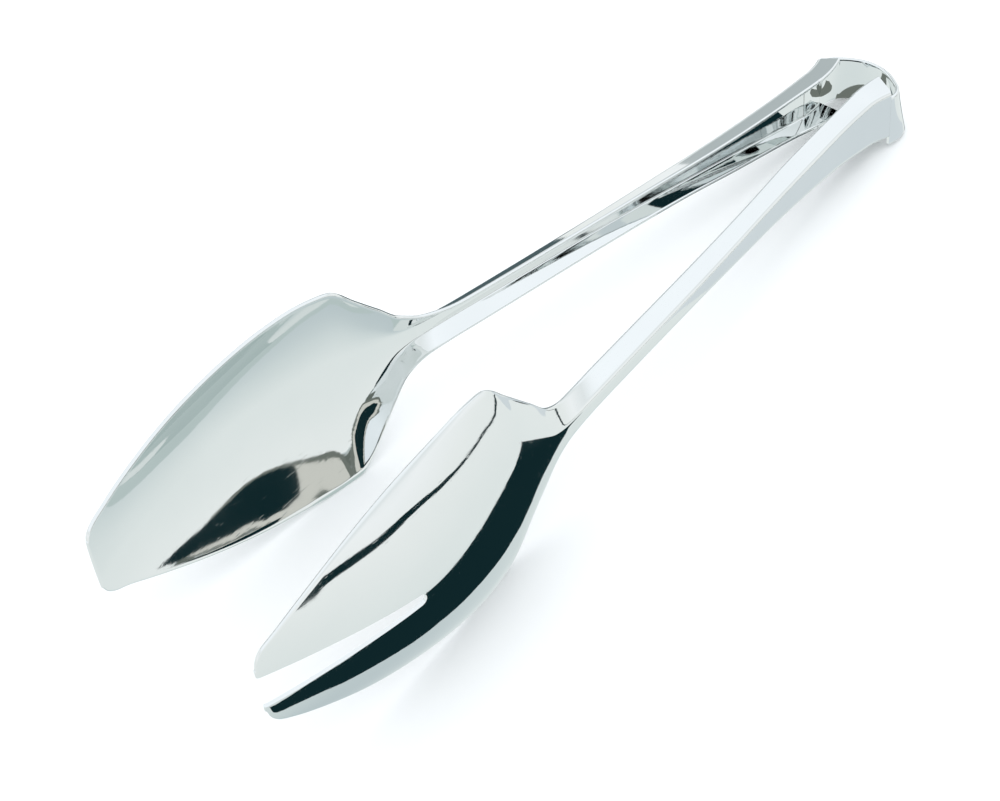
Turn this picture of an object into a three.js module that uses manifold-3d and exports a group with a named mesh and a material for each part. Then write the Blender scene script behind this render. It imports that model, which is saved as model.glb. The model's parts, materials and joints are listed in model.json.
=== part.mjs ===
// Serving tongs pressed from one gauge of stainless sheet: a spring bow, two channel handles, a
// solid serving blade and a two-tine fork blade. Millimetres. Everything is drawn about the
// plane of symmetry (X from bow to tips, Y across the opening, Z across the strip), then the
// whole part is laid down on its side so that it stands on z = 0.
import * as THREE from "three";
import { mergeVertices } from "three/addons/utils/BufferGeometryUtils.js";
import Module from "manifold-3d";

const SHEET = 1.0;            // sheet thickness
const GAP = 0.3;              // cut between neighbouring named pieces
const CROWN_X = 2.3;          // outer face of the bow at its middle

// spring bow, outer face: round crown, tight shoulder, slight waist, then the handles
const CROWN_RADIUS = 15.3;
const CROWN_TURN = 42;        // degrees turned along half of the crown
const SHOULDER_RADIUS = 7;
const WAIST_RADIUS = 24;
const WAIST_DIP = -18;        // steepest inward heading, at the end of the band
const HANDLE_HEADING = 3;     // heading where the waist runs out into the handle
const BAND_HALF = 7.8;        // half width of the flat band
const BAND_MIDDLE = -3.5;     // the band sits a little low against the handles
const BAND_LEAN = 13;         // degrees its lower edge stands out at the crown
const LEAN_FROM = 20;         // degrees round the crown where the lean begins to fade
const BAND_STEP = 6;          // degrees per facet round the bow

const NECK_X = 152;           // handle ends and blade begins
const FOLD_RADIUS = 1.6;      // outer radius of the long folds
const WEB_POINTS = 3;         // facets on half the web
const FOLD_POINTS = 3;        // facets on each fold
const FLANGE_POINTS = 4;      // facets on each flange
const MORPH_START = 147;      // folds begin to flatten into the dished blade
const MORPH_END = 171;
const DISH_POWER = 2.3;       // how far the dish stays flat before its rims rise

// outer face of an arm at its middle: [x, distance from the plane of symmetry]
const SPINE = [[22.6, 11.09], [30, 11.4], [45, 12.7], [62, 14.5], [80, 16.8], [100, 19.3],
  [125, 22.4], [150, 25.8], [164, 28.7], [175, 31.4], [186, 33.9], [196, 35.6], [204, 36.2],
  [211, 35.8], [218, 34.8], [228, 33.1], [238, 30.9], [249.6, 27.8]];
// how far the middle of a handle sags towards the bow: [x, mm]
const CAMBER = [[13, -1.6], [20, -1.3], [35, -0.6], [75, 0], [249.6, 0]];
// half width of the flat web between the folds: [x, mm]
const WEB_HALF = [[13, 7.6], [20, 7.4], [34, 6.0], [50, 4.7], [70, 3.6], [100, 2.5], [150, 2.1],
  [172, 5.0]];
// edge of the strip, measured out from the middle plane and in from the outer face: [x, mm]
const EDGE_HALF = [[13, 9.2], [20, 8.0], [33, 6.8], [50, 5.8], [70, 5.0], [100, 4.8], [140, 5.0],
  [150, 6.2], [157, 9.6], [162, 15.4], [168, 22.7], [172.6, 28.3], [174.6, 29.7], [177, 30.3], [184, 30.9],
  [196, 29.8], [210, 27.4], [224, 23.0], [236, 17.4], [244, 12.9]];
const EDGE_DEPTH = [[13, 5.9], [20, 5.7], [33, 5.0], [50, 4.9], [70, 4.4], [100, 4.1], [140, 4.0],
  [150, 3.2], [156, 2.6], [162, 3.6], [168, 5.4], [176, 6.7], [186, 7.3], [197, 8.0], [205, 8.1],
  [215, 6.8], [225, 4.9], [236, 2.7], [244, 1.1], [249.6, 0.3]];
const SPATULA_TIP = [[246.6, 11.6], [248.4, 10.2], [249.3, 8.9], [249.6, 7.6]];
const FORK_TIP = [[246, 11.6], [247.4, 9.9], [248.1, 8.2], [248.4, 6.6]];

// slot between the two tines: [x, half width]
const SLOT = [[210, 1.7], [222, 2.6], [232, 3.5], [242, 4.4], [254, 5.4]];

const STEEL = { color: 0xd3d6d6, roughness: 0.16, metalness: 1 };

const manifold = await Module();
manifold.setup();

// smooth curve through knots that never overshoots them
function curve(knots) {
  const slope = knots.map((_, i) => knotSlope(knots, i));
  return (x) => {
    let i = 0;
    while (i < knots.length - 2 && x > knots[i + 1][0]) i += 1;
    const [x0, y0] = knots[i];
    const [x1, y1] = knots[i + 1];
    const h = x1 - x0;
    const t = THREE.MathUtils.clamp((x - x0) / h, 0, 1);
    const t2 = t * t;
    const t3 = t2 * t;
    return (2 * t3 - 3 * t2 + 1) * y0 + (t3 - 2 * t2 + t) * h * slope[i]
      + (3 * t2 - 2 * t3) * y1 + (t3 - t2) * h * slope[i + 1];
  };
}

function knotSlope(knots, i) {
  const step = (a, b) => (knots[b][1] - knots[a][1]) / (knots[b][0] - knots[a][0]);
  if (i === 0) return step(0, 1);
  if (i === knots.length - 1) return step(i - 1, i);
  const before = step(i - 1, i);
  const after = step(i, i + 1);
  if (before * after <= 0) return 0;
  return (2 * before * after) / (before + after);
}

const rad = THREE.MathUtils.degToRad;

// points along one arc of the bow, the heading falling or rising from one angle to another
function arc(from, fromDeg, toDeg, radius) {
  const sign = toDeg < fromDeg ? 1 : -1;
  const steps = Math.ceil(Math.abs(toDeg - fromDeg) / BAND_STEP);
  const out = [];
  for (let k = 1; k <= steps; k += 1) {
    const deg = THREE.MathUtils.lerp(fromDeg, toDeg, k / steps);
    const x = from.x + sign * radius * (Math.sin(rad(fromDeg)) - Math.sin(rad(deg)));
    const y = from.y + sign * radius * (Math.cos(rad(deg)) - Math.cos(rad(fromDeg)));
    out.push({ x, y, heading: rad(deg) });
  }
  return out;
}

const crownStart = { x: CROWN_X, y: 0, heading: rad(90) };
const crown = [crownStart, ...arc(crownStart, 90, 90 - CROWN_TURN, CROWN_RADIUS)];
const shoulder = arc(crown.at(-1), 90 - CROWN_TURN, WAIST_DIP, SHOULDER_RADIUS);
const waist = arc(shoulder.at(-1), WAIST_DIP, HANDLE_HEADING, WAIST_RADIUS);

const spineY = curve(SPINE);
const webHalf = curve(WEB_HALF);
const edgeDepth = curve(EDGE_DEPTH);
const camber = curve(CAMBER);

function spineAt(x) {
  const slope = (spineY(x + 0.5) - spineY(x - 0.5)) / 1;
  return { x, y: spineY(x), heading: Math.atan(slope) };
}

// half section of a folded channel: [out from the middle plane, in from the outer face]
function channelHalf(web, half, depth) {
  const lean = Math.atan2(half - web, depth);
  const bend = Math.PI / 2 - lean;
  const setback = FOLD_RADIUS * Math.tan(bend / 2);
  const flat = Math.max(web - setback, 0.3);
  const points = [];
  for (let k = 0; k < WEB_POINTS; k += 1) points.push([flat * (k / WEB_POINTS), 0]);
  for (let k = 0; k <= FOLD_POINTS; k += 1) {
    const a = bend * (k / FOLD_POINTS);
    points.push([flat + FOLD_RADIUS * Math.sin(a), FOLD_RADIUS * (1 - Math.cos(a))]);
  }
  const [z0, d0] = points.at(-1);
  for (let k = 1; k <= FLANGE_POINTS; k += 1) {
    const t = k / FLANGE_POINTS;
    points.push([THREE.MathUtils.lerp(z0, half, t), THREE.MathUtils.lerp(d0, depth, t)]);
  }
  return points;
}

// half section of the dished blade with the same number of points
function dishHalf(half, depth) {
  const count = WEB_POINTS + FOLD_POINTS + FLANGE_POINTS;
  const points = [];
  for (let k = 0; k <= count; k += 1) {
    const t = k / count;
    points.push([half * t, depth * t ** DISH_POWER]);
  }
  return points;
}

// full outer section, edge to edge, as [z, inward]
function outerSection(x, edgeHalf) {
  const half = edgeHalf(x);
  const depth = edgeDepth(x);
  const folded = channelHalf(webHalf(x), half, depth);
  const dished = dishHalf(half, depth);
  const m = THREE.MathUtils.smoothstep(x, MORPH_START, MORPH_END);
  const side = folded.map(([z, d], i) => [
    THREE.MathUtils.lerp(z, dished[i][0], m),
    THREE.MathUtils.lerp(d, dished[i][1], m),
  ]);
  const other = side.slice(1).reverse().map(([z, d]) => [-z, d]);
  return [...other, ...side];
}

// the same section moved in by the sheet thickness
function innerSection(outer) {
  return outer.map(([z, d], i) => {
    const [za, da] = outer[Math.max(i - 1, 0)];
    const [zb, db] = outer[Math.min(i + 1, outer.length - 1)];
    const run = Math.hypot(zb - za, db - da);
    return [z - (SHEET * (db - da)) / run, d + (SHEET * (zb - za)) / run];
  });
}

// section points (z, inward) put at a station, lifted by sag and leaned about the strip's middle
function placed(at, section, sag, lean = 0) {
  const inX = Math.sin(at.heading);
  const inY = -Math.cos(at.heading);
  return section.map(([z, d]) => {
    const inward = d + z * Math.tan(lean);
    return new THREE.Vector3(at.x + inward * inX, at.y + inward * inY, z + sag);
  });
}

function stripRing(at, x, edgeHalf) {
  const outer = outerSection(x, edgeHalf);
  const sag = camber(at.x);
  return { outer: placed(at, outer, sag), inner: placed(at, innerSection(outer), sag) };
}

// closed body through a run of sheet sections
function sheetLoft(rings) {
  const n = rings[0].outer.length;
  const loop = 2 * n;
  const positions = [];
  for (const ring of rings) {
    for (const v of [...ring.outer, ...ring.inner.slice().reverse()]) positions.push(v.x, v.y, v.z);
  }
  const index = [];
  const quad = (a, b, c, d) => index.push(a, b, c, a, c, d);
  for (let r = 0; r < rings.length - 1; r += 1) {
    for (let i = 0; i < loop; i += 1) {
      const j = (i + 1) % loop;
      quad(r * loop + i, r * loop + j, (r + 1) * loop + j, (r + 1) * loop + i);
    }
  }
  const last = (rings.length - 1) * loop;
  for (let i = 0; i < n - 1; i += 1) {
    quad(i, loop - 1 - i, loop - 2 - i, i + 1);
    quad(last + i, last + i + 1, last + loop - 2 - i, last + loop - 1 - i);
  }
  const geometry = new THREE.BufferGeometry();
  geometry.setAttribute("position", new THREE.Float32BufferAttribute(positions, 3));
  geometry.setIndex(index);
  return facingOut(geometry);
}

function signedVolume(geometry) {
  const p = geometry.attributes.position;
  const index = geometry.index.array;
  const [a, b, c] = [new THREE.Vector3(), new THREE.Vector3(), new THREE.Vector3()];
  let sum = 0;
  for (let i = 0; i < index.length; i += 3) {
    a.fromBufferAttribute(p, index[i]);
    b.fromBufferAttribute(p, index[i + 1]);
    c.fromBufferAttribute(p, index[i + 2]);
    sum += a.dot(b.cross(c));
  }
  return sum / 6;
}

function facingOut(geometry) {
  if (signedVolume(geometry) < 0) {
    const index = geometry.index.array;
    for (let i = 0; i < index.length; i += 3) {
      [index[i], index[i + 1]] = [index[i + 1], index[i]];
    }
  }
  return geometry;
}

function mirrored(geometry) {
  const copy = geometry.clone();
  copy.scale(1, -1, 1);
  return facingOut(copy);
}

function span(from, to, step) {
  const count = Math.ceil((to - from) / step);
  return Array.from({ length: count + 1 }, (_, k) => THREE.MathUtils.lerp(from, to, k / count));
}

// lean of the band at a station: full round the crown, none where it meets the handle
function bandLean(at) {
  const turned = Math.abs(THREE.MathUtils.radToDeg(at.heading) - 90);
  return rad(BAND_LEAN) * (1 - THREE.MathUtils.smoothstep(turned, LEAN_FROM, 90 - WAIST_DIP));
}

// flat band bent round the bow, up to the start of both handles
function bowGeometry() {
  const side = [...crown.slice(1), ...shoulder];
  const end = side.at(-1);
  end.x -= 0.5 * GAP * Math.cos(end.heading);
  end.y -= 0.5 * GAP * Math.sin(end.heading);
  const other = side.map(({ x, y, heading }) => ({ x, y: -y, heading: Math.PI - heading }));
  const run = [...other.reverse(), crownStart, ...side];
  const flat = [-BAND_HALF, -0.5 * BAND_HALF, 0, 0.5 * BAND_HALF, BAND_HALF];
  return sheetLoft(run.map((at) => {
    const lean = bandLean(at);
    return {
      outer: placed(at, flat.map((z) => [z, 0]), BAND_MIDDLE, lean),
      inner: placed(at, flat.map((z) => [z, SHEET]), BAND_MIDDLE, lean),
    };
  }));
}

function handleGeometry(edgeHalf) {
  const first = shoulder.at(-1);
  const start = {
    x: first.x + GAP * Math.cos(first.heading),
    y: first.y + GAP * Math.sin(first.heading),
    heading: first.heading,
  };
  const neck = waist.slice(0, -1);
  const rest = [...span(SPINE[0][0], 144, 7), 147, NECK_X - 0.5 * GAP].map(spineAt);
  return sheetLoft([start, ...neck, ...rest].map((at) => stripRing(at, at.x, edgeHalf)));
}

function bladeGeometry(edgeHalf, tip) {
  const xs = [...span(NECK_X + 0.5 * GAP, 172.5, 2), ...span(173.5, 177, 1.2),
    ...span(180, 244, 4), ...tip.map(([x]) => x)];
  return sheetLoft(xs.map((x) => stripRing(spineAt(x), x, edgeHalf)));
}

// prism through the fork blade: rounded at the root, open at the tips
function slotGeometry() {
  const [rootX, rootHalf] = SLOT[0];
  const half = curve(SLOT);
  const top = SLOT.map(([x]) => new THREE.Vector2(x, half(x)));
  const bottom = top.map((v) => new THREE.Vector2(v.x, -v.y)).reverse();
  const round = [1, 2, 3, 4, 5].map((k) => {
    const a = -Math.PI / 2 - (Math.PI * k) / 6;
    return new THREE.Vector2(rootX + rootHalf * Math.cos(a), rootHalf * Math.sin(a));
  });
  const shape = new THREE.Shape([...top, ...bottom, ...round]);
  const prism = new THREE.ExtrudeGeometry(shape, { depth: 40, bevelEnabled: false });
  prism.rotateX(Math.PI / 2);
  prism.translate(0, 50, 0);
  return prism;
}

function toManifold(geometry) {
  const bare = new THREE.BufferGeometry();
  bare.setAttribute("position", geometry.attributes.position.clone());
  if (geometry.index) bare.setIndex(geometry.index.clone());
  const merged = mergeVertices(bare, 1e-4);
  return new manifold.Manifold(new manifold.Mesh({
    numProp: 3,
    vertProperties: new Float32Array(merged.attributes.position.array),
    triVerts: new Uint32Array(merged.index.array),
  }));
}

function cut(geometry, tool) {
  const mesh = toManifold(geometry).subtract(toManifold(tool)).getMesh();
  const out = new THREE.BufferGeometry();
  out.setAttribute("position", new THREE.Float32BufferAttribute(mesh.vertProperties, 3));
  out.setIndex(Array.from(mesh.triVerts));
  return out;
}

// lowest point of a shape once it is turned about Y
function lowest(geometry, angle) {
  const p = geometry.attributes.position;
  let low = Infinity;
  for (let i = 0; i < p.count; i += 1) {
    low = Math.min(low, -p.getX(i) * Math.sin(angle) + p.getZ(i) * Math.cos(angle));
  }
  return low;
}

// turn about Y at which the bow's edge and the blades' lower rims touch one plane
function restAngle(bow, blade) {
  let low = rad(-15);
  let high = rad(0);
  for (let k = 0; k < 40; k += 1) {
    const mid = 0.5 * (low + high);
    if (lowest(blade, mid) < lowest(bow, mid)) high = mid;
    else low = mid;
  }
  return 0.5 * (low + high);
}

function piece(name, geometry) {
  const mesh = new THREE.Mesh(geometry, new THREE.MeshStandardMaterial(STEEL));
  geometry.computeVertexNormals();
  mesh.name = name;
  return mesh;
}

const edgeHalf = curve([...EDGE_HALF, ...SPATULA_TIP]);
const forkEdgeHalf = curve([...EDGE_HALF, ...FORK_TIP]);

const shapes = {
  bow_spring: bowGeometry(),
  spatula_handle: mirrored(handleGeometry(edgeHalf)),
  spatula_blade: mirrored(bladeGeometry(edgeHalf, SPATULA_TIP)),
  fork_handle: handleGeometry(forkEdgeHalf),
  fork_blade: cut(bladeGeometry(forkEdgeHalf, FORK_TIP), slotGeometry()),
};

const tilt = restAngle(shapes.bow_spring, shapes.spatula_blade);
for (const geometry of Object.values(shapes)) geometry.rotateY(tilt);
const box = new THREE.Box3();
for (const geometry of Object.values(shapes)) {
  box.union(new THREE.Box3().setFromBufferAttribute(geometry.attributes.position));
}
const middle = box.getCenter(new THREE.Vector3());

const group = new THREE.Group();
for (const [name, geometry] of Object.entries(shapes)) {
  geometry.translate(-middle.x, -middle.y, -box.min.z);
  group.add(piece(name, geometry));
}

export default group;
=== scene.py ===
"""Serving tongs in polished stainless steel, for Blender 4.5.

One strip of steel sheet is bent round into a spring bow. Each half runs on as a folded channel
handle and ends in a dished blade: one solid, one slotted into two tines. The shape is drawn in
millimetres about the plane of symmetry (X from bow to tips, Y across the opening, Z across the
strip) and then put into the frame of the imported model.
"""
import json
import math

import bmesh
import bpy
import numpy as np
from mathutils import Matrix, Vector


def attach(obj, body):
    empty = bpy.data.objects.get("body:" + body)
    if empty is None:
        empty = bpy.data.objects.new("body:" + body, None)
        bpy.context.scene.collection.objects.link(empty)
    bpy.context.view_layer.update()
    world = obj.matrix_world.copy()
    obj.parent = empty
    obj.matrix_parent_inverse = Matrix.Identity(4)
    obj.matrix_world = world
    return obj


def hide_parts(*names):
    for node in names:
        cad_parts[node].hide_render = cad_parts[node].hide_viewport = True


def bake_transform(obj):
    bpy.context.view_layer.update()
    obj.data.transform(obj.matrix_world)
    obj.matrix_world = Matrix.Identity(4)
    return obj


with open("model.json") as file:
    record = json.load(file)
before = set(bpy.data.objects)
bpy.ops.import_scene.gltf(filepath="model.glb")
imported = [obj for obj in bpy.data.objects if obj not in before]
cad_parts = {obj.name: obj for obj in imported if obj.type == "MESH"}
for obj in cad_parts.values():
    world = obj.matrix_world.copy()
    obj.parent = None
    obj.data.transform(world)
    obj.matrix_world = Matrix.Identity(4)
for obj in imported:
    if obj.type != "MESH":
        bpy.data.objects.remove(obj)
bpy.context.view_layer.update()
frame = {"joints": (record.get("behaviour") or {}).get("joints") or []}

# ---------------------------------------------------------------- driving dimensions, mm
SHEET = 1.0                   # sheet thickness
EDGE_ROUND = 0.34             # how far the deburred edge bulges
CROWN_X = 2.3                 # outer face of the bow at its middle
CROWN_RADIUS = 15.3
CROWN_TURN = 42               # degrees turned along half of the crown
SHOULDER_RADIUS = 7
WAIST_RADIUS = 24
WAIST_DIP = -18               # steepest inward heading, at the end of the band
HANDLE_HEADING = 3
BAND_HALF = 7.8
BAND_MIDDLE = -3.5            # the band sits a little low against the handles
BAND_LEAN = 13                # degrees its lower edge stands out at the crown
LEAN_FROM = 20                # degrees round the crown where the lean begins to fade
NECK_X = 152                  # handle ends and blade begins
FOLD_RADIUS = 1.6
MORPH = (147, 171)            # folds flatten into the dished blade
DISH_POWER = 2.3
BLADE_BEGINS = (174, 192)     # the blade's curves ease out to long, even sweeps
TIP_BEGINS = (232, 245)
HINGE = (6.0, 8.1, -3.5)      # middle of the bending half band

# outer face of an arm at its middle: (x, distance from the plane of symmetry)
SPINE = ((22.6, 11.09), (30, 11.4), (45, 12.7), (62, 14.5), (80, 16.8), (100, 19.3), (125, 22.4),
         (150, 25.8), (164, 28.7), (175, 31.4), (186, 33.9), (196, 35.6), (204, 36.2),
         (211, 35.8), (218, 34.8), (228, 33.1), (238, 30.9), (249.6, 27.8))
# sag of a handle's middle towards the bow: (x, mm)
CAMBER = ((13, -1.6), (20, -1.3), (35, -0.6), (75, 0), (249.6, 0))
# half width of the flat web between the folds: (x, mm)
WEB_HALF = ((13, 7.6), (20, 7.4), (34, 6.0), (50, 4.7), (70, 3.6), (100, 2.5), (150, 2.1),
            (172, 5.0))
# edge of the strip, out from the middle and in from the outer face: (x, mm)
EDGE_HALF = ((13, 9.2), (20, 8.0), (33, 6.8), (50, 5.8), (70, 5.0), (100, 4.8), (140, 5.0),
             (150, 6.2), (157, 9.6), (162, 15.4), (168, 22.7), (172.6, 28.3), (174.6, 29.7),
             (177, 30.3), (184, 30.9), (196, 29.8), (210, 27.4), (224, 23.0), (236, 17.4),
             (244, 12.9))
EDGE_DEPTH = ((13, 5.9), (20, 5.7), (33, 5.0), (50, 4.9), (70, 4.4), (100, 4.1), (140, 4.0),
              (150, 3.2), (156, 2.6), (162, 3.6), (168, 5.4), (176, 6.7), (186, 7.3),
              (197, 8.0), (205, 8.1), (215, 6.8), (225, 4.9), (236, 2.7), (244, 1.1),
              (249.6, 0.3))
SPATULA_TIP = ((246.6, 11.6), (248.4, 10.2), (249.3, 8.9), (249.6, 7.6))
FORK_TIP = ((246, 11.6), (247.4, 9.9), (248.1, 8.2), (248.4, 6.6))
SLOT = ((210, 1.7), (222, 2.6), (232, 3.5), (242, 4.4), (254, 5.4))

# points across half a section, and round its edge
WEB_POINTS = 8
FOLD_POINTS = 8
FLANGE_POINTS = 10
ROUND_POINTS = 5
WELD = 1e-6                   # metres
BAND_POINTS = 25              # across the whole bow
SHARP_DEGREES = 40            # edges sharper than this are not shaded smooth

# spacing of the sections, mm
HANDLE_STEP = 1.4
NECK_STEP = 0.55
BLADE_STEP = 0.9
NECK_UNTIL = 182
TIP_SECTIONS = 14
CUT_LOOP = 0.05               # second section beside a cut, which keeps its edge crisp
HAIRLINE = 0.02               # between the bow and a handle
ROOT_CLEAR = 0.3              # between the blade's sections and those round the slot's root

# turn between the sections round a bend, degrees
ARC_STEP = 1.5
SLOT_ROOT_STEP = 10
END_STEP = 20                 # over the rounded end of a blade
SEAM_STEP = 0.1               # beside the crown, where the two halves of the bow meet

# camera in the model frame: place in mm, direction from the object to it, roll and lens
CAMERA_PLACE = (377.2, 261.8, 336.9)
CAMERA_AZIMUTH = 49.07        # degrees from X towards Y
CAMERA_ELEVATION = 44.96
CAMERA_ROLL = -6.94
CAMERA_LENS = 73.94


# ---------------------------------------------------------------- curves
def curve(knots):
    """Smooth curve through knots that never overshoots them."""
    xs, ys = np.array(knots, float).T
    step = np.diff(ys) / np.diff(xs)
    before, after = step[:-1], step[1:]
    together = before * after > 0
    total = np.where(together, before + after, 1)
    inner = np.where(together, 2 * before * after / total, 0)
    slope = np.concatenate(([step[0]], inner, [step[-1]]))

    def at(x):
        i = np.clip(np.searchsorted(xs, x) - 1, 0, len(xs) - 2)
        h = xs[i + 1] - xs[i]
        t = np.clip((x - xs[i]) / h, 0, 1)
        t2, t3 = t * t, t * t * t
        return ((2 * t3 - 3 * t2 + 1) * ys[i] + (t3 - 2 * t2 + t) * h * slope[i]
                + (3 * t2 - 2 * t3) * ys[i + 1] + (t3 - t2) * h * slope[i + 1])

    return at


def smoothstep(x, low, high):
    t = min(max((x - low) / (high - low), 0), 1)
    return t * t * (3 - 2 * t)


def eased(function, spread, blade_spread=None):
    """The same curve with its bends eased, over a greater length along the blade if asked."""
    taps = np.linspace(-2, 2, 13)
    weights = np.exp(-0.5 * taps * taps)
    weights /= weights.sum()
    more = (blade_spread or spread) - spread

    def at(x):
        width = spread + more * smoothstep(x, *BLADE_BEGINS)
        if blade_spread:
            width *= 1 - smoothstep(x, *TIP_BEGINS)
        return sum(w * function(x + width * t) for w, t in zip(weights, taps))

    return at


spine_y = eased(curve(SPINE), 3.0, 6.0)
camber = eased(curve(CAMBER), 3.0)
web_half = eased(curve(WEB_HALF), 2.0)
edge_depth = eased(curve(EDGE_DEPTH), 2.4, 5.5)
spatula_half = eased(curve(EDGE_HALF + SPATULA_TIP), 0.0, 5.0)
fork_half = eased(curve(EDGE_HALF + FORK_TIP), 0.0, 5.0)
slot_half = curve(SLOT)


# ---------------------------------------------------------------- stations along the strip
def arc(start, from_deg, to_deg, radius):
    """Stations (x, y, heading) along an arc, the first one left out."""
    x0, y0, _ = start
    sign = 1 if to_deg < from_deg else -1
    count = math.ceil(abs(to_deg - from_deg) / ARC_STEP)
    a0 = math.radians(from_deg)
    out = []
    for k in range(1, count + 1):
        a = math.radians(from_deg + (to_deg - from_deg) * k / count)
        x = x0 + sign * radius * (math.sin(a0) - math.sin(a))
        y = y0 + sign * radius * (math.cos(a) - math.cos(a0))
        out.append((x, y, a))
    return out


def on_spine(x):
    slope = float(spine_y(x + 0.5) - spine_y(x - 0.5))
    return (x, float(spine_y(x)), math.atan(slope))


crown_start = (CROWN_X, 0.0, math.radians(90))
crown = arc(crown_start, 90, 90 - CROWN_TURN, CROWN_RADIUS)
shoulder = arc(crown[-1], 90 - CROWN_TURN, WAIST_DIP, SHOULDER_RADIUS)
waist = arc(shoulder[-1], WAIST_DIP, HANDLE_HEADING, WAIST_RADIUS)


# ---------------------------------------------------------------- sections
def channel_half(web, half, depth):
    """Half section of a folded channel as (out from the middle, in from the outer face)."""
    lean = math.atan2(half - web, depth)
    bend = math.pi / 2 - lean
    setback = FOLD_RADIUS * math.tan(bend / 2)
    flat = max(web - setback, 0.3)
    points = [(flat * k / WEB_POINTS, 0.0) for k in range(WEB_POINTS)]
    for k in range(FOLD_POINTS + 1):
        a = bend * k / FOLD_POINTS
        points.append((flat + FOLD_RADIUS * math.sin(a), FOLD_RADIUS * (1 - math.cos(a))))
    z0, d0 = points[-1]
    for k in range(1, FLANGE_POINTS + 1):
        t = k / FLANGE_POINTS
        points.append((z0 + (half - z0) * t, d0 + (depth - d0) * t))
    return np.array(points)


def dish_half(half, depth, gap=0.0):
    """Half section of the dished blade, from the middle or from the side of the slot.

    A narrow gap moves only the points beside it, a wide one moves them all.
    """
    t = np.linspace(0, 1, WEB_POINTS + FOLD_POINTS + FLANGE_POINTS + 1)
    near_slot = max(1.0, min(8.0, 0.8 * half / gap)) if gap > 0 else 1.0
    z = half * t + gap * (1 - t) ** near_slot
    return np.stack((z, depth * (z / half) ** DISH_POWER), axis=1)


def outer_half(x, half_at):
    """Half of the outer face at x, from the middle to the edge."""
    half, depth = float(half_at(x)), float(edge_depth(x))
    folded = channel_half(float(web_half(x)), half, depth)
    morph = smoothstep(x, *MORPH)
    return folded + (dish_half(half, depth) - folded) * morph


def inward(points):
    """Unit normals of a section, towards the inside of the arm."""
    run = np.gradient(points, axis=0)
    run /= np.linalg.norm(run, axis=1)[:, None]
    return np.stack((-run[:, 1], run[:, 0]), axis=1)


def round_edge(outer_end, inner_end, out):
    """Points round the deburred edge from the outer face to the inner one."""
    middle = 0.5 * (outer_end + inner_end)
    reach = 0.5 * (inner_end - outer_end)
    angles = np.pi * np.arange(1, ROUND_POINTS + 1) / (ROUND_POINTS + 1)
    return np.array([middle - math.cos(a) * reach + EDGE_ROUND * math.sin(a) * out for a in angles])


def loop_of(points, square_start=False):
    """Closed section loop of the sheet: outer face, edge, inner face back, edge."""
    normals = inward(points)
    if square_start:
        normals[0] = (0.0, 1.0)
    inner = points + SHEET * normals
    last = points[-1] - points[-2]
    end = round_edge(points[-1], inner[-1], last / np.linalg.norm(last))
    if square_start:
        start = np.linspace(inner[0], points[0], ROUND_POINTS + 2)[1:-1]
    else:
        first = points[0] - points[1]
        start = round_edge(inner[0], points[0], first / np.linalg.norm(first))
    return np.concatenate((points, end, inner[::-1], start))


def placed(station, section, sag, lean=0.0):
    """Section points (z, inward) at a station as model points, leaned about the strip's middle."""
    x, y, heading = station
    z, d = section.T
    d = d + z * math.tan(lean)
    return np.stack((x + d * math.sin(heading), y - d * math.cos(heading), z + sag), axis=1)


# ---------------------------------------------------------------- model frame to row frame
def to_row_frame():
    """Matrix from model millimetres to metres in the frame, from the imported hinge."""
    hinge = next(j for j in frame["joints"] if j["name"] == "spatula_squeeze")
    axis = Vector(hinge["axis"]).normalized()
    turn = Matrix.Rotation(math.atan2(axis.x, axis.z), 4, "Y")
    model = Vector((HINGE[0], -HINGE[1], HINGE[2])) * 0.001
    place = Vector(hinge["pos_m"]) - turn @ model
    return Matrix.Translation(place) @ turn @ Matrix.Scale(0.001, 4)


TO_ROW = to_row_frame()


def row_point(x, y, z):
    return TO_ROW @ Vector((x, y, z))


# ---------------------------------------------------------------- meshes
def weld(mesh):
    """Points that coincide become one, and points without a face go."""
    work = bmesh.new()
    work.from_mesh(mesh)
    bmesh.ops.remove_doubles(work, verts=work.verts, dist=WELD)
    loose = [v for v in work.verts if not v.link_faces]
    bmesh.ops.delete(work, geom=loose, context="VERTS")
    work.to_mesh(mesh)
    work.free()


def new_piece(name, points, faces):
    mesh = bpy.data.meshes.new(name)
    matrix = np.array(TO_ROW)
    rows = np.asarray(points) @ matrix[:3, :3].T + matrix[:3, 3]
    mesh.from_pydata(rows.tolist(), [], faces)
    weld(mesh)
    mesh.validate()
    mesh.shade_smooth()
    mesh.set_sharp_from_angle(angle=math.radians(SHARP_DEGREES))
    piece = bpy.data.objects.new(name, mesh)
    bpy.context.scene.collection.objects.link(piece)
    return piece


def face_outwards(points, faces):
    """Faces turned so that the closed shell has positive volume."""
    p = np.asarray(points)
    total = 0.0
    for f in faces:
        for k in range(1, len(f) - 1):
            total += float(np.dot(p[f[0]], np.cross(p[f[k]], p[f[k + 1]])))
    return faces if total > 0 else [tuple(reversed(f)) for f in faces]


def loft(loops, cap_start=True):
    """Points and faces of a skin through closed loops of the sheet, with capped ends."""
    n = len(loops[0])
    points = np.concatenate(loops)
    faces = []
    for r in range(len(loops) - 1):
        a, b = r * n, (r + 1) * n
        for i in range(n):
            j = (i + 1) % n
            faces.append((a + i, a + j, b + j, b + i))
    cap = cap_faces(n, (n - 2 * ROUND_POINTS) // 2)
    if cap_start:
        faces += [tuple(reversed(face)) for face in cap]
    last = (len(loops) - 1) * n
    faces += [tuple(last + i for i in face) for face in cap]
    return points, faces


def cap_faces(n, across):
    """Faces across one end of the sheet, between its outer and inner face."""
    inner_last = n - ROUND_POINTS - 1
    faces = [(i, i + 1, inner_last - i - 1, inner_last - i) for i in range(across - 1)]
    faces.append(tuple(range(across - 1, across + ROUND_POINTS + 1)))
    faces.append(tuple(range(inner_last, n)) + (0,))
    return faces


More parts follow.
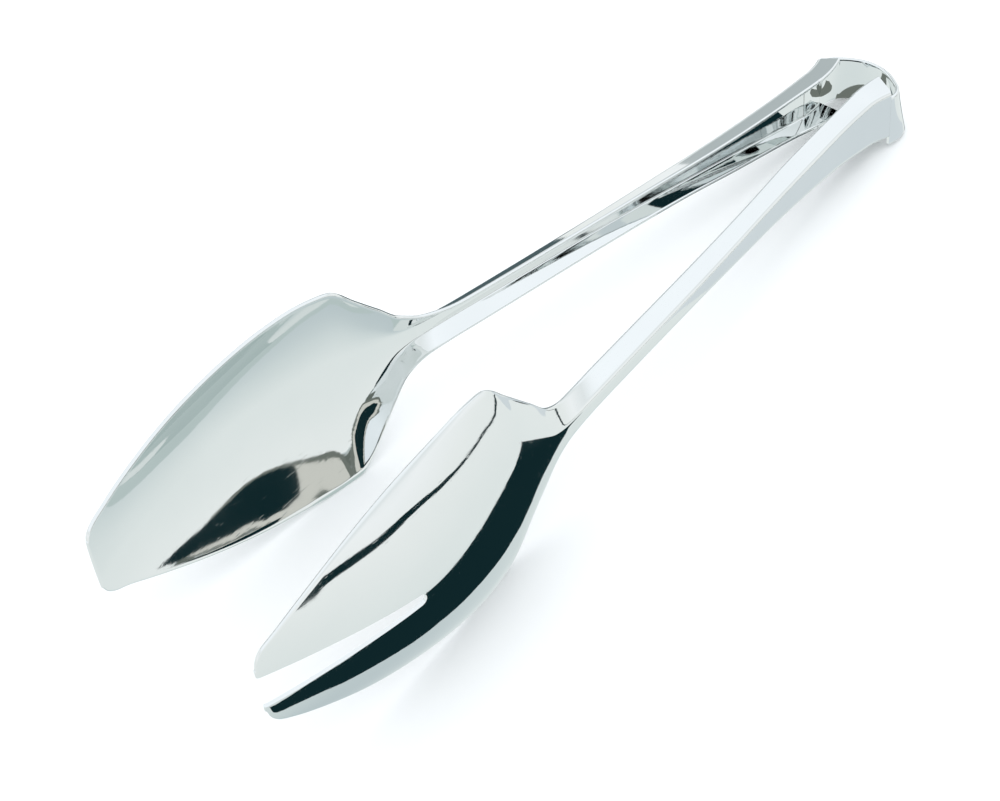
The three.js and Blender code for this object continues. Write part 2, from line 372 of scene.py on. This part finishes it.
def rounded_end(loop, ahead):
    """Further loops that round the end of the sheet over."""
    n = len(loop)
    across = (n - 2 * ROUND_POINTS) // 2
    middle = loop.copy()
    for i in range(across):
        middle[i] = 0.5 * (loop[i] + loop[n - ROUND_POINTS - 1 - i])
        middle[n - ROUND_POINTS - 1 - i] = middle[i]
    middle[across:across + ROUND_POINTS] = middle[across - 1]
    middle[n - ROUND_POINTS:] = middle[0]
    out = []
    for degrees in range(END_STEP, 90, END_STEP):
        a = math.radians(degrees)
        pulled = middle + (loop - middle) * math.cos(a)
        out.append(pulled + EDGE_ROUND * math.sin(a) * ahead)
    return out


def mirror(points, side):
    return points * np.array((1, side, 1))


# ---------------------------------------------------------------- pieces
def band_lean(station):
    """Lean of the band: full round the crown, none where it meets the handle."""
    turned = 90 - math.degrees(station[2])
    return math.radians(BAND_LEAN) * (1 - smoothstep(turned, LEAN_FROM, 90 - WAIST_DIP))


def bow_half(side):
    """Half of the spring bow, from the crown to the start of one handle."""
    a = math.radians(90 - SEAM_STEP)
    near = (CROWN_X + CROWN_RADIUS * (1 - math.sin(a)), CROWN_RADIUS * math.cos(a), a)
    stations = [crown_start, near, *crown, *shoulder]
    z = np.linspace(-BAND_HALF + EDGE_ROUND, BAND_HALF - EDGE_ROUND, BAND_POINTS)
    flat = np.stack((z, np.zeros_like(z)), axis=1)
    loops = [placed(s, loop_of(flat), BAND_MIDDLE, band_lean(s)) for s in stations]
    return loft([mirror(loop, side) for loop in loops], cap_start=False)


def handle_stations():
    first = shoulder[-1]
    start = (first[0] + HAIRLINE, first[1], first[2])
    return [start, *waist[:-1], *[on_spine(x) for x in np.arange(20.6, NECK_X, HANDLE_STEP)],
            on_spine(NECK_X - CUT_LOOP), on_spine(NECK_X)]


def full_section(x, half_at):
    half = outer_half(x, half_at)
    other = half[:0:-1] * np.array((-1, 1))
    return np.concatenate((other, half))


def handle(side, half_at):
    loops = []
    for s in handle_stations():
        loops.append(placed(s, loop_of(full_section(s[0], half_at)), float(camber(s[0]))))
    return loft([mirror(loop, side) for loop in loops])


def blade_stops(tip):
    """Where the blade's sections are: close together along the neck and at the tip."""
    neck = np.arange(NECK_X + 0.6, NECK_UNTIL, NECK_STEP)
    middle = np.arange(NECK_UNTIL, tip[0][0], BLADE_STEP)
    end = np.linspace(tip[0][0], tip[-1][0], TIP_SECTIONS)
    return [NECK_X, NECK_X + CUT_LOOP, *neck, *middle, *end]


def solid_blade(side):
    loops = []
    for x in blade_stops(SPATULA_TIP):
        s = on_spine(x)
        loops.append(placed(s, loop_of(full_section(x, spatula_half)), float(camber(x))))
    ahead = np.array((math.cos(s[2]), math.sin(s[2]), 0))
    loops += rounded_end(loops[-1], ahead)
    return loft([mirror(loop, side) for loop in loops])


def slot_at(x):
    """Half width of the slot at x, zero before its round root."""
    root, radius = SLOT[0]
    if x >= root:
        return float(slot_half(x))
    if x <= root - radius:
        return 0.0
    return math.sqrt(radius ** 2 - (x - root) ** 2)


def slotted_blade(side):
    """The blade as two mirrored halves that meet in the middle up to the slot's root."""
    root, radius = SLOT[0]
    turn = [root - radius * math.cos(math.radians(a)) for a in range(0, 91, SLOT_ROOT_STEP)]
    before = [x for x in blade_stops(FORK_TIP) if x < turn[0] - ROOT_CLEAR]
    after = [x for x in blade_stops(FORK_TIP) if x > root + ROOT_CLEAR]
    xs = [*before, *turn, *after]
    first_open = len(before)
    loops = []
    for x in xs:
        s = on_spine(x)
        section = outer_half(x, fork_half)
        if x > MORPH[1]:
            section = dish_half(float(fork_half(x)), float(edge_depth(x)), slot_at(x))
        loops.append(placed(s, loop_of(section, square_start=True), float(camber(x))))
    ahead = np.array((math.cos(s[2]), math.sin(s[2]), 0))
    loops += rounded_end(loops[-1], ahead)
    n = len(loops[0])
    points, faces = loft([mirror(loop, side) for loop in loops])
    slot_wall = range(n - ROUND_POINTS, n)
    no_wall = {r * n + i for r in range(first_open) for i in slot_wall}
    faces = [f for f in faces if not no_wall & set(f)]
    return with_twin(points, faces)


def with_twin(points, faces):
    """The half together with its mirror image across Z."""
    count = len(points)
    both = np.concatenate((points, points * np.array((1, 1, -1))))
    return both, faces + [tuple(count + i for i in reversed(f)) for f in faces]


# ---------------------------------------------------------------- materials
class Steel:
    """Node tree of one mirror-polished stainless steel, built in object space."""

    def __init__(self, name, grain, seed):
        self.material = bpy.data.materials.new(name)
        self.material.use_nodes = True
        self.nodes = self.material.node_tree.nodes
        self.links = self.material.node_tree.links
        self.shader = self.nodes["Principled BSDF"]
        self.place = self.nodes.new("ShaderNodeTexCoord").outputs["Object"]
        self.seed = seed
        self.shader.inputs["Metallic"].default_value = 1.0
        polish = self.noise(grain, 3.0)
        smudges = self.noise((55, 55, 55), 4.0)
        scratches = self.noise((grain[0] * 0.7, grain[1] * 1.6, grain[2] * 1.6), 1.0)
        hairlines = self.ranged(scratches, (0.70, 0.78), (0.0, 1.0))
        self.link(self.summed(self.ranged(smudges, (0.35, 0.75), (0.02, 0.065)),
                              self.ranged(hairlines, (0.0, 1.0), (0.0, 0.10))), "Roughness")
        self.link(self.tinted(smudges, (0.80, 0.83, 0.83, 1), (0.86, 0.88, 0.88, 1)), "Base Color")
        height = self.summed(self.ranged(polish, (0.0, 1.0), (0.0, 1.0)),
                             self.ranged(hairlines, (0.0, 1.0), (0.0, -0.8)))
        bump = self.nodes.new("ShaderNodeBump")
        bump.inputs["Strength"].default_value = 0.014
        bump.inputs["Distance"].default_value = 0.0002
        self.links.new(height, bump.inputs["Height"])
        self.link(bump.outputs["Normal"], "Normal")

    def link(self, output, socket):
        self.links.new(output, self.shader.inputs[socket])

    def noise(self, scale, detail):
        stretch = self.nodes.new("ShaderNodeMapping")
        stretch.inputs["Scale"].default_value = scale
        stretch.inputs["Location"].default_value = (self.seed, 2 * self.seed, 3 * self.seed)
        self.links.new(self.place, stretch.inputs["Vector"])
        texture = self.nodes.new("ShaderNodeTexNoise")
        texture.inputs["Scale"].default_value = 1.0
        texture.inputs["Detail"].default_value = detail
        self.links.new(stretch.outputs["Vector"], texture.inputs["Vector"])
        return texture.outputs["Fac"]

    def ranged(self, value, given, wanted):
        node = self.nodes.new("ShaderNodeMapRange")
        node.inputs["From Min"].default_value, node.inputs["From Max"].default_value = given
        node.inputs["To Min"].default_value, node.inputs["To Max"].default_value = wanted
        self.links.new(value, node.inputs["Value"])
        return node.outputs["Result"]

    def summed(self, first, second):
        node = self.nodes.new("ShaderNodeMath")
        self.links.new(first, node.inputs[0])
        self.links.new(second, node.inputs[1])
        return node.outputs["Value"]

    def tinted(self, factor, low, high):
        node = self.nodes.new("ShaderNodeMix")
        node.data_type = "RGBA"
        node.inputs["A"].default_value = low
        node.inputs["B"].default_value = high
        self.links.new(factor, node.inputs["Factor"])
        return node.outputs["Result"]


ALONG_ARM = (60, 1500, 1500)
ROUND_BOW = (60, 60, 1500)


def add_piece(name, shape, node, body, grain, seed):
    points, faces = shape
    piece = new_piece(name, points, face_outwards(points, faces))
    piece.data.materials.append(Steel(name + "_steel", grain, seed).material)
    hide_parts(node)
    if body:
        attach(piece, body)
    return piece


for side, arm, seed in ((-1, "spatula", 1.0), (1, "fork", 2.0)):
    half_at = spatula_half if arm == "spatula" else fork_half
    bow = add_piece(f"bow_half_{arm}", bow_half(side), "bow_spring", None,
                    ROUND_BOW, seed)
    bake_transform(bow)
    add_piece(f"{arm}_handle_skin", handle(side, half_at), f"{arm}_handle", f"{arm}_arm",
              ALONG_ARM, seed + 2)
add_piece("spatula_blade_skin", solid_blade(-1), "spatula_blade", "spatula_arm",
          ALONG_ARM, 5.0)
add_piece("fork_blade_skin", slotted_blade(1), "fork_blade", "fork_arm",
          ALONG_ARM, 6.0)


# ---------------------------------------------------------------- floor, camera, light
def plain(name, colour):
    material = bpy.data.materials.new(name)
    material.use_nodes = True
    shader = material.node_tree.nodes["Principled BSDF"]
    shader.inputs["Base Color"].default_value = (*colour, 1)
    shader.inputs["Roughness"].default_value = 0.9
    return material


def stage_face(name, corners, material, faces=None):
    mesh = bpy.data.meshes.new(name)
    mesh.from_pydata(corners, [], faces or [tuple(range(len(corners)))])
    mesh.materials.append(material)
    face = bpy.data.objects.new(name, mesh)
    bpy.context.scene.collection.objects.link(face)
    return face


def add_floor():
    reach = 3.0               # metres
    corners = [(-reach, -reach, 0), (reach, -reach, 0), (reach, reach, 0), (-reach, reach, 0)]
    floor = stage_face("floor", corners, plain("pale_paper", (0.96, 0.965, 0.965)))
    # the steel reflects the world's lower half, with its painted shade, in place of the floor
    floor.visible_glossy = False


def glow(name, colour):
    """Studio card of an even brightness, seen only as a reflection in the steel."""
    material = bpy.data.materials.new(name)
    material.use_nodes = True
    tree = material.node_tree
    tree.nodes.remove(tree.nodes["Principled BSDF"])
    emission = tree.nodes.new("ShaderNodeEmission")
    emission.inputs["Color"].default_value = (*colour, 1)
    tree.links.new(emission.outputs["Emission"], tree.nodes["Material Output"].inputs["Surface"])
    return material


def add_card(name, corners_mm, colour, faces=None):
    card = stage_face(name, [[0.001 * v for v in c] for c in corners_mm], glow(name, colour), faces)
    card.visible_camera = False
    card.visible_diffuse = False
    card.visible_shadow = False


# tones of the cards below, each a painted reflection seen only in the steel
DARK = (0.006, 0.022, 0.026)
SLATE = (0.08, 0.12, 0.13)
OLIVE = (0.17, 0.19, 0.17)
GREY = (0.52, 0.61, 0.60)
GREY_SIDE = (0.50, 0.55, 0.56)
PALE_SHADE = (0.71, 0.77, 0.80)
CREAM = (0.66, 0.66, 0.61)
TABLE_CARD_Z = 0.3            # cards that lie on the table

# cards on the table, seen only in the steel as painted reflections, mm: outlines (x, y) from above
CONTOUR = ((-6, 54), (24, 53), (39, 54), (51, 56), (63, 59), (72, 61), (100, 54), (127, 47),
           (125, 43), (104, 38), (74, 38), (47, 33), (31, 32), (20, 35), (8, 38), (-4, 46))
SHADE = ((25, -20), (110, -20), (110, -45), (25, -45))
SHADE_BETWEEN_HANDLES = ((-104, -5), (-52, -7), (-52, 5), (-104, 9))
SHADE_UNDER_BOW = ((-121, -12), (-118, -12), (-117.2, -8), (-116.6, -5.6), (-117.2, -3.4),
             (-119.5, -3))
SHADE_UNDER_NEAR_HANDLE = ((-122, 12), (-60, 22), (-34, 32), (-34, 46), (-70, 44), (-128, 34))

# cards that stand between the blades and paint the slotted blade's reflection into the solid one,
# mm: outlines (x, z), each a hair behind the one before
REFLECTED_BLADE_DARK = ((56, 10.8), (60, 9.8), (63, 8), (66.5, 5.8), (70, 3.6), (73, 1.5), (77, -0.3),
              (69, -0.8), (65, -0.2), (62, 0.5), (58.4, 0.8), (57.4, 3.6), (56.1, 6.4), (55.5, 8.6))
REFLECTED_BLADE_PALE = ((54.3, 10.4), (56, 11.8), (60, 11.2), (63, 9.2), (67, 6.4), (69, 3.6), (65, 0.6),
              (59, 0.7), (56.4, 0.5), (54.8, 2), (54.2, 5))
REFLECTED_BLADE_OUTLINE = ((53.4, 10.8), (55.8, 12.4), (60.2, 11.9), (63.6, 9.6), (67.6, 6.6), (70, 2),
             (60, -0.2), (56.2, -0.5), (54, 1.2), (53, 4.5))

# upright cards beyond the solid arm, seen only in the steel as painted dark and grey reflections,
# mm: two ends (x, y), foot and top
BEHIND = ((-592, -147), (-64, -607), -520, -110)
FAR_SIDE = ((-433, -250), (-235, -441), 90, 420)

# middle line and half height of the narrow dark strip behind the table, a painted dark line seen
# only in the steel, mm
DARK_LINE_PATH = ((-240, 60, -62, 3.5), (-221, 106, -60, 3.5), (-190, 178, -52, 4), (-161, 215, -48, 3.5),
            (-143, 234, -47, 3.5), (-113, 259, -36, 4), (-84, 282, -16, 5), (-34, 309, 17, 7.5),
            (1, 320, 29, 10), (34, 326, 25, 12), (68, 328, 23, 13), (90, 328, 20, 13),
            (103, 325, 4, 13), (109, 319, -18, 10))


def add_table_card(name, outline, colour):
    add_card(name, [(x, y, TABLE_CARD_Z) for x, y in outline], colour)


def add_upright_card(name, place, colour):
    start, end, foot, top = place
    add_card(name, [(*start, top), (*end, top), (*end, foot), (*start, foot)], colour)


def add_cards():
    """Cards that paint the dark, grey and cream patches into the polished steel: painted
    reflections of shade on the table, of the slotted blade and of a dark surround.
    """
    # painted reflection: the dark band along the fork blade's lower face, from a dark card beside
    # it on the table
    add_table_card("painted_reflection_dark_band", CONTOUR, DARK)
    # painted reflection of the slotted blade in the solid blade's lower part: dark, cream and an
    # olive outline
    for name, y, outline, colour in (("painted_blade_reflection_dark", 18.0, REFLECTED_BLADE_DARK, DARK),
                                     ("painted_blade_reflection_pale", 18.2, REFLECTED_BLADE_PALE, CREAM),
                                     ("painted_blade_reflection_outline", 18.4, REFLECTED_BLADE_OUTLINE, OLIVE)):
        add_card(name, [(x, y, z) for x, z in outline], colour)
    # painted shade reflected in the steel: the spatula's shadow on the table, and the shade between
    # the handles, under the bow and under the near handle
    add_table_card("shade_card", SHADE, GREY)
    add_table_card("painted_shade_between_handles", SHADE_BETWEEN_HANDLES, DARK)
    add_table_card("painted_shade_under_bow", SHADE_UNDER_BOW, OLIVE)
    add_table_card("painted_shade_under_near_handle", SHADE_UNDER_NEAR_HANDLE, PALE_SHADE)
    # painted dark and grey reflections beyond the solid arm
    add_upright_card("behind", BEHIND, SLATE)
    add_upright_card("far_side", FAR_SIDE, GREY_SIDE)
    # painted dark line reflected in the steel
    add_painted_dark_line()


def add_painted_dark_line():
    """Narrow dark strip that curves round behind the table, seen only in the steel as a painted
    dark reflected line.
    """
    step = np.arange(0, len(DARK_LINE_PATH) - 1 + 1e-6, 0.25)
    x, y, z, half = [curve([(i, row[k]) for i, row in enumerate(DARK_LINE_PATH)])(step) for k in range(4)]
    points = np.concatenate((np.stack((x, y, z + half), 1), np.stack((x, y, z - half), 1)))
    n = len(step)
    faces = [(i, i + 1, n + i + 1, n + i) for i in range(n - 1)]
    add_card("painted_dark_line", points.tolist(), DARK, faces)


def add_world():
    """Soft studio surround, shaded by height: pale table below, which the steel reflects in place
    of the floor, with painted shade darkening it towards straight down; brighter ceiling above.
    """
    world = bpy.data.worlds.new("studio")
    world.use_nodes = True
    bpy.context.scene.world = world
    nodes, links = world.node_tree.nodes, world.node_tree.links
    place = nodes.new("ShaderNodeTexCoord")
    split = nodes.new("ShaderNodeSeparateXYZ")
    links.new(place.outputs["Generated"], split.inputs["Vector"])
    spread = nodes.new("ShaderNodeMapRange")
    spread.inputs["From Min"].default_value = -1.0
    spread.inputs["From Max"].default_value = 1.0
    links.new(split.outputs["Z"], spread.inputs["Value"])
    ramp = nodes.new("ShaderNodeValToRGB")
    links.new(spread.outputs["Result"], ramp.inputs["Fac"])
    # the stops below the horizon darken towards straight down: painted shade of the table under the
    # tongs, as the steel reflects it
    stops = ((-90, (0.55, 0.63, 0.65)), (-62, (0.70, 0.77, 0.77)), (-48, (0.84, 0.89, 0.88)),
             (-12, (0.92, 0.95, 0.94)), (5, (1.0, 1.02, 1.03)), (22, (0.86, 0.90, 0.91)),
             (35, (1.06, 1.1, 1.14)), (90, (1.0, 1.04, 1.08)))
    elements = ramp.color_ramp.elements
    while len(elements) < len(stops):
        elements.new(0.5)
    for element, (degrees, colour) in zip(elements, stops):
        element.position = 0.5 + 0.5 * math.sin(math.radians(degrees))
        element.color = (*colour, 1)
    links.new(ramp.outputs["Color"], nodes["Background"].inputs["Color"])


def add_light():
    data = bpy.data.lights.new("soft_top", "AREA")
    data.shape = "DISK"
    data.size = 1.6
    data.energy = 9.0
    light = bpy.data.objects.new("soft_top", data)
    bpy.context.scene.collection.objects.link(light)
    light.location = (0.1, 0.2, 1.8)
    light.visible_glossy = False


add_floor()
add_cards()
add_world()
add_light()
bpy.context.scene.view_settings.view_transform = "Standard"


def add_camera():
    data = bpy.data.cameras.new("camera")
    data.lens = CAMERA_LENS
    data.sensor_width = 36
    data.clip_start = 0.01
    camera = bpy.data.objects.new("camera", data)
    bpy.context.scene.collection.objects.link(camera)
    azimuth, elevation = math.radians(CAMERA_AZIMUTH), math.radians(CAMERA_ELEVATION)
    back = Vector((math.cos(elevation) * math.cos(azimuth),
                   math.cos(elevation) * math.sin(azimuth), math.sin(elevation)))
    level = Vector((0, 0, 1)).cross(back).normalized()
    roll = Matrix.Rotation(math.radians(CAMERA_ROLL), 3, back)
    right = roll @ level
    up = back.cross(right)
    turn = TO_ROW.to_3x3().normalized()
    rotation = (turn @ Matrix((right, up, back)).transposed()).to_4x4()
    camera.matrix_world = Matrix.Translation(row_point(*CAMERA_PLACE)) @ rotation
    bpy.context.scene.camera = camera


add_camera()

bpy.context.view_layer.update()
